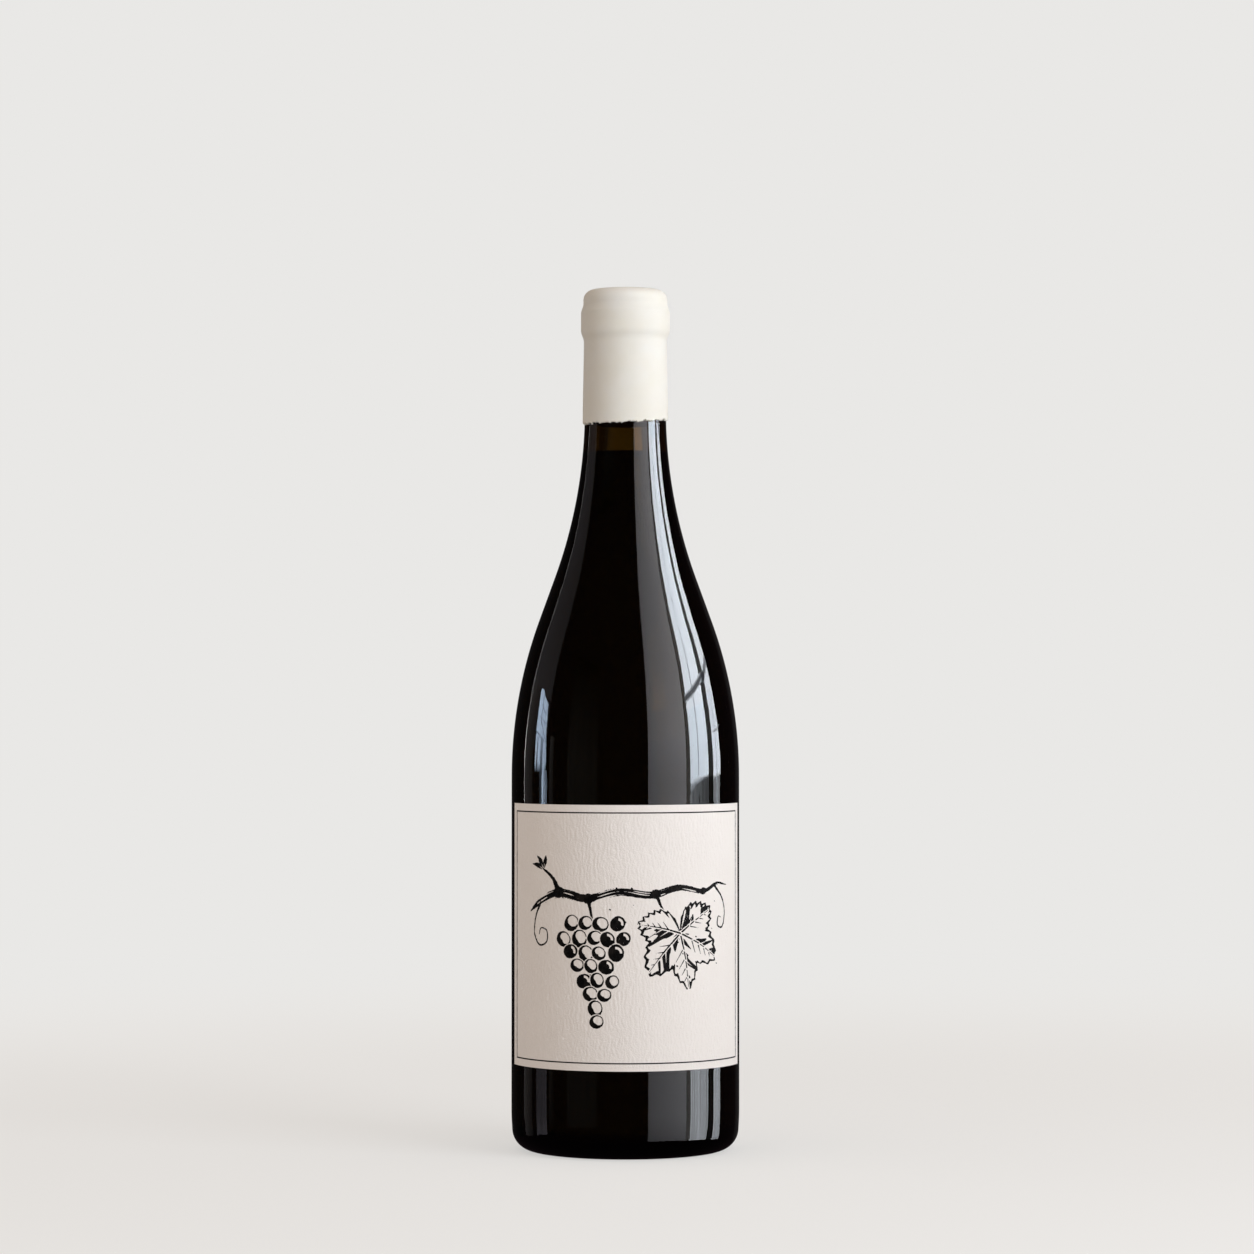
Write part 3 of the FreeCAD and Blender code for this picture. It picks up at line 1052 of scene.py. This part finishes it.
# What the dark glass mirrors: a grey wall, a tall window with its frame, sill and casement on
# the right, far and near windows on the left, and bright and dark rims behind. Each row: name,
# angles in degrees from the camera's side, right positive; heights in metres; brightness; tint.
# Then, where they differ from the rest: the radius, how much higher the right end is, and how
# strongly upright streaks show. The two named beyond show through the empty neck instead.
reflections = [
    ("grey_wall", (22.5, 63.2), (-0.40, 0.15), (0.6, 0.95, 1.4, 2.75), "#F5F5FC"),
    ("grey_wall_mid", (22.5, 63.2, 22.6, 63.6), (0.15, 0.32), (1.4, 2.75, 1.6, 3.3), "#F5F5FD"),
    ("grey_wall_top", (22.6, 63.6, 23.5, 66), (0.32, 1.50), (1.6, 3.3, 1.4, 2.4), "#FAF8FD"),
    ("wall_edge", (63, 69, 66, 74), (-0.40, 1.50), (0.6, 0.8, 0.6, 2.0), "#FFFBF8", 1.28),
    ("window_low", (68, 89, 68, 92), (-0.40, 0.03), (4.5, 4.0, 5.4, 4.8), "#F2F8FF", 1.25, 0, 0.6),
    ("window_sill", (68, 92), (0.03, 0.102), (2.0, 0.7, 2.1, 0.7), "#F2F8FF", 1.255, 0.022, 0.6),
    ("sill_edge", (67.6, 69.2), (0.03, 0.096), (3.4, 3.4, 3.6, 3.6), "#F2F8FF"),
    ("sill_streak", (78.6, 80.2, 78.4, 79.8), (0.04, 0.097), (0.5,), "#F2F8FF", 1.24),
    ("window_haze", (68, 92), (0.096, 0.109), (2.2, 0.75, 13.5, 13.0), "#EBF4FF", 1.25, 0.021, 0.4),
    ("window_pane", (67.9, 92, 68.2, 91.7), (0.105, 0.45), (13.5, 13.0, 15.5, 15.5), "#E9F4FF",
     1.26, 0, 0.12),
    ("window_top", (68.2, 91.7, 72, 95), (0.45, 1.40), (15.5, 15.5, 15.0, 15.0), "#EFF6FF", 1.26,
     0, 0.15),
    ("window_streak", (77.6, 79.0, 78.6, 79.8), (0.125, 1.40), (8.0, 8.0, 9.5, 9.5), "#E0ECFA",
     1.22),
    ("post_low", (89, 98.8, 92.2, 98.8), (-0.40, 0.12), (0.05, 0.05, 0.08, 0.08), "#FFFFFF", 1.24),
    ("window_post", (92.2, 98.8, 95, 98.8), (0.12, 1.40), (0.3, 0.3, 1.1, 1.1), "#FFFFFF", 1.24),
    ("casement_low", (98.8, 110), (-0.40, 0.03), (4.0, 2.6, 4.4, 3.2), "#F2F8FF", 1.25, 0, 0.5),
    ("casement_sill", (98.8, 109.5), (0.03, 0.118), (2.3, 2.0, 2.6, 2.5), "#F2F8FF", 1.26, 0, 0.2),
    ("casement_haze", (98.8, 109.8), (0.110, 0.124), (2.6, 2.5, 12.5, 9.5), "#F2F8FF", 1.25, 0.008),
    ("casement", (99, 111, 98.8, 109.2), (0.124, 0.45), (12.5, 9.5, 11.5, 10.0), "#EDF5FF", 1.26,
     0, 0.15),
    ("casement_top", (98.8, 109.2, 98.8, 106.5), (0.45, 1.40), (11.5, 10.0, 14.0, 12.0), "#F2F8FF",
     1.26, 0, 0.15),
    ("casement_streak", (104.0, 105.6, 103.6, 104.8), (-0.40, 0.45), (2.2, 2.2, 8.0, 8.0),
     "#E6F0FC", 1.23),
    ("glazing_bar", (65.5, 93), (0.2665, 0.276), (1.8,), "#EEF4FF", 0.42, 0.0175),
    ("bar_above", (65.5, 93), (0.276, 0.280), (6.5,), "#EEF4FF", 0.42, 0.0175),
    ("bar_below", (65.5, 93), (0.263, 0.2665), (7.5,), "#EEF4FF", 0.42, 0.0175),
    ("bar_post", (93, 99), (0.272, 0.288), (0.6,), "#EEF4FF", 0.42, 0.0075),
    ("bar_end", (99, 107), (0.2805, 0.2965), (2.6,), "#EEF4FF", 0.42, 0.011),
    ("casement_bar", (99, 110), (0.190, 0.193), (4.0,), "#EEF4FF", 0.42, 0.004),
    ("rim_right", (146, 178), (-0.30, 1.20), (0.02, 0.05, 0.035, 0.075), "#FFF2F6"),
    ("rim_left", (-178, -126), (-0.30, 1.20), (0.016, 0.006, 0.022, 0.010), "#FFF2F6"),
    ("far_edge_low", (-122.2, -121.0), (-0.15, 0.02), (0.15, 0.15, 0.45, 0.45), "#FFFFFF"),
    ("far_edge", (-122.8, -121.6), (0.02, 0.135), (1.7, 1.7, 2.0, 2.0), "#FFFFFF"),
    ("far_edge_mid", (-122.8, -121.6), (0.135, 0.19), (2.0, 2.0, 5.2, 5.2), "#FFFFFF"),
    ("far_edge_fade", (-122.8, -121.6), (0.19, 0.34), (5.2, 5.2, 1.8, 1.8), "#FFFFFF"),
    ("far_edge_top", (-122.8, -121.6, -123.4, -122.2), (0.34, 0.95), (1.6, 1.6, 0.3, 0.3),
     "#FFFFFF"),
    ("far_wall", (-121, -87, -121, -88), (0.45, 1.40), (0.16, 0.20, 0.11, 0.12), "#FFF8FF"),
    ("far_wall_low", (-121, -107), (-0.25, 0.45), (0.14, 0.05, 0.20, 0.12), "#FFF6F6"),
    ("far_wall_mid", (-107, -87), (0.22, 0.45), (0.12, 0.24, 0.16, 0.20), "#FFF8FF", 1.27),
    ("far_window_low", (-100.6, -85.4), (-0.25, -0.02), (0.36, 0.5, 0.16, 0.28), "#F6F0FF", 1.25,
     0, 0.5),
    ("far_sill_glow", (-96, -91.8), (0.03, 0.14), (0.3, 1.0), "#CFE4FF", 1.26),
    ("far_sill", (-90.7, -88.2), (0.03, 0.14), (8.5, 12.5, 9.5, 13.5), "#CFE4FF"),
    ("far_sill_edge", (-88.2, -84.9), (0.03, 0.14), (2.2, 2.0, 2.4, 2.0), "#CFE4FF"),
    ("near_window_haze", (-100.6, -88.6), (0.132, 0.146), (0.3, 0.5, 7.0, 5.5), "#CFE4FF", 0.451),
    ("near_window", (-100.6, -83.8, -101.8, -88), (0.146, 0.252), (7.0, 7.0, 7.5, 8.0), "#CFE4FF",
     0.45, 0, 0.3),
    ("near_window_side", (-89.8, -86.2, -90.2, -85.2), (0.110, 0.146), (11.0, 1.2, 8.5, 5.0),
     "#CFE4FF", 0.449),
    ("near_window_top", (-101.8, -88, -101.8, -98), (0.252, 0.2665), (7.5, 7.0, 7.5, 7.5),
     "#CFE4FF", 0.45),
    ("near_gap_left", (-98.6, -96.7), (0.132, 0.188), (0.4, 0.4, 3.6, 3.6), "#CFE4FF", 0.44),
    ("near_gap_right", (-92.6, -89.3), (0.132, 0.188), (0.5, 0.8, 3.4, 4.4), "#CFE4FF", 0.44),
    ("near_lattice_low", (-100, -85.2), (0.1925, 0.1955), (2.4,), "#CFE4FF", 0.44, -0.011),
    ("near_lattice_arch", (-94, -86), (0.2105, 0.2135), (2.6,), "#CFE4FF", 0.44, -0.026),
    ("near_lattice_mid", (-98, -87.5), (0.2190, 0.2220), (3.0,), "#CFE4FF", 0.44, -0.006),
    ("near_lattice_top", (-97, -88.5), (0.2385, 0.2420), (3.0,), "#CFE4FF", 0.44, -0.010),
    ("near_mullion", (-95.2, -93.8, -96.6, -95.2), (0.2080, 0.2620), (3.0,), "#CFE4FF", 0.44),
    ("curtain", (-82, -76, -82, -77), (-0.25, 0.30), (0.0, 0.0, 0.25, 0.12), "#FFFAFA"),
    ("beyond_light", (171.2, 176.2, 172.2, 176.2), (0.20, 0.45), (5.5, 4.5, 5.0, 4.0), "#FFFFFF"),
    ("beyond_dark", (-171, -158), (0.20, 0.45), (0.28,), "#FFFFFF"),
    ("curtain_far", (-60, -28), (-0.20, 0.20), (0.05, 0.04, 0.06, 0.045), "#FFFFFF", 1.25, 0, 0.8),
    ("curtain_fade", (-60, -28), (0.20, 0.80), (0.06, 0.045, 0.0, 0.0), "#FFFFFF", 1.25, 0, 0.8),
]


def reflectorPanel(name, angles, heights, levels, tint, radius=1.25, rise=0, streaks=0):
    # one bent panel; its brightness is kept at its corners and blends between them
    bm = bmesh.new()
    glow = bm.verts.layers.float.new("glow")
    low, high = heights
    columns, rows = 48 if streaks else 12, 10
    grid = []
    for i in range(columns + 1):
        x = i / columns
        column = []
        for j in range(rows + 1):
            y = j / rows
            angle = radians(blend(angles, x, y) + cameraView["azimuth"])
            height = low + (high - low) * y + rise * x
            vert = bm.verts.new(turned(radius, angle, height))
            field = drift(angle * studio["streakNumber"], y * studio["streakWaver"], low * 9)
            streak = 1 + streaks * field
            vert[glow] = blend(levels, x, y) * streak
            column.append(vert)
        grid.append(column)
    for left, right in zip(grid, grid[1:]):
        for j in range(rows):
            bm.faces.new((left[j], left[j + 1], right[j + 1], right[j]))
    panel = meshObject(name, bm)
    material, add = stageMaterial(name)
    glowing = add("Attribute", attribute_name="glow").outputs["Fac"]
    light = add("Emission", {"Strength": glowing}, Color=tint)
    add("OutputMaterial", {"Surface": light})
    panel.data.materials.append(material)
    hideFromRays(panel, "camera", "diffuse", "volume_scatter", "shadow",
                 "glossy" if name.startswith("beyond") else "transmission")


def stageMaterial(name):
    material = bpy.data.materials.new(name)
    material.use_nodes = True
    material.node_tree.nodes.clear()
    material.cycles.emission_sampling = "NONE"
    return material, partial(addNode, material.node_tree)


def hideFromRays(obj, *kinds):
    for kind in kinds:
        setattr(obj, "visible_" + kind, False)


def seenBy(add, *kinds):
    # 1 for these kinds of ray, 0 for the rest
    rays = add("LightPath").outputs
    seen = rays[kinds[0]]
    for kind in kinds[1:]:
        seen = add("Math", {0: seen, 1: rays[kind]}, operation="MAXIMUM")
    return seen


def makeFloor(values):
    # pale floor that melts into the backdrop far from the bottle
    bm = bmesh.new()
    bmesh.ops.create_grid(bm, x_segments=1, y_segments=1, size=values["floorSize"])
    floor = meshObject("studio_floor", bm)
    material, add = stageMaterial("studioFloor")
    place = add("TexCoord").outputs["Object"]
    distance = add("VectorMath", {0: place}, operation="LENGTH")
    near = add("MapRange", {"Value": distance.outputs["Value"]},
               interpolation_type="SMOOTHERSTEP", From_Min=values["paintNear"],
               From_Max=values["paintFar"], To_Min=values["floorPaint"], To_Max=0.0)
    seen = seenBy(add, "Is Camera Ray", "Is Transmission Ray")
    share = add("MapRange", {"Value": seen, "To Max": near}, To_Min=1.0)
    matt = add("BsdfDiffuse", Color=values["floor"])
    lift = add("MapRange", {"Value": near},
               From_Max=values["floorPaint"], To_Min=1.0, To_Max=values["floorLift"])
    backdrop = add("Emission", {"Strength": lift}, Color=values["backdrop"])
    mix = add("MixShader", {"Fac": share, 1: backdrop, 2: matt})
    add("OutputMaterial", {"Surface": mix})
    floor.data.materials.append(material)
    hideFromRays(floor, "glossy")


def makeFlags(values):
    # black flags all round, mirrored in the glass, as dark glass is always shot
    bm = bmesh.new()
    bmesh.ops.create_uvsphere(bm, u_segments=48, v_segments=24, radius=values["flagRadius"])
    flags = meshObject("black_flags", bm)
    material, add = stageMaterial("blackFlags")
    light = add("Emission", Color=values["flags"])
    add("OutputMaterial", {"Surface": light})
    flags.data.materials.append(material)
    hideFromRays(flags, "camera", "diffuse", "transmission", "volume_scatter", "shadow")


def makeWorld(values):
    # the backdrop as the camera and the clear parts see it, warm soft light for the rest
    world = bpy.data.worlds.new("studioWorld")
    bpy.context.scene.world = world
    world.use_nodes = True
    world.node_tree.nodes.clear()
    add = partial(addNode, world.node_tree)
    seen = seenBy(add, "Is Camera Ray", "Is Glossy Ray", "Is Transmission Ray")
    ambient = [c * values["ambientLevel"] for c in hexColor(values["ambient"])[:3]]
    color = add("MixRGB", {"Fac": seen}, Color1=(*ambient, 1), Color2=values["backdrop"])
    sky = add("Background", {"Color": color})
    add("OutputWorld", {"Surface": sky})


def makeLamp(name, values):
    light = bpy.data.lights.new(name, "AREA")
    light.shape = "RECTANGLE"
    light.size, light.size_y = values["size"]
    light.energy = values["power"]
    light.spread = radians(values["spread"])
    light.color = hexColor(values["tint"])[:3]
    lamp = addObject(name, light)
    azimuth = radians(values["azimuth"] + cameraView["azimuth"])
    rise = radians(values["elevation"])
    away = turned(cos(rise), azimuth, sin(rise))
    lamp.location = Vector((0, 0, values["aim"])) + away * values["distance"]
    lamp.rotation_euler = away.to_track_quat("Z", "Y").to_euler()
    lamp.visible_glossy = False


makeWorld(studio)
makeFloor(studio)
makeFlags(studio)
for name, values in lamps.items():
    makeLamp(name, values)
for reflection in reflections:
    reflectorPanel(*reflection)
bpy.context.scene.view_settings.view_transform = "Standard"
print("studio lit")
